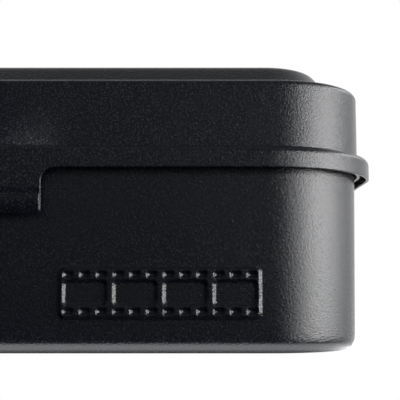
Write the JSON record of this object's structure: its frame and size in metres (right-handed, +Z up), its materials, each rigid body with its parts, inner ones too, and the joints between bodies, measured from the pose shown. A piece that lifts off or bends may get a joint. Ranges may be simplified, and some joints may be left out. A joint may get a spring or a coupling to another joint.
{
  "type": "hinged film storage case",
  "caption": "Shallow pressed-steel case with a hinged lid, rounded corners, stepped skirt and thumb tab, holding 35 mm film cassettes in a cradle tray.",
  "frame": {"origin": "centre of the flat underside of the base", "axes": "+X along the length, front with the thumb tab at -Y, hinges at +Y, +Z up"},
  "size_m": [0.1482, 0.07, 0.034],
  "materials": {
    "powder_coat": "fine-textured black powder coat",
    "tray_plastic": "matt formed plastic",
    "foam": "fine-cell foam",
    "hinge_steel": "black coated steel strip",
    "pin_steel": "drawn wire",
    "rivet_steel": "black oxide rivet"
  },
  "bodies": {
    "base": {"base_shell": "powder_coat", "film_tray": "tray_plastic", "hinge_base_leaf_left": "hinge_steel", "hinge_base_leaf_right": "hinge_steel", "hinge_pin_left": "pin_steel", "hinge_pin_right": "pin_steel", "base_leaf_rivets_left": "rivet_steel", "base_leaf_rivets_right": "rivet_steel"},
    "lid": {"lid_shell": "powder_coat", "lid_pad": "foam", "hinge_lid_leaf_left": "hinge_steel", "hinge_lid_leaf_right": "hinge_steel", "lid_leaf_rivets_left": "rivet_steel", "lid_leaf_rivets_right": "rivet_steel"}
  },
  "joints": [
    {"name": "lid_hinge", "type": "hinge", "parent": "base", "child": "lid", "pos_m": [0, 0.03475, 0.0206], "axis": [-1, 0, 0], "range_deg": [0, 110]}
  ]
}
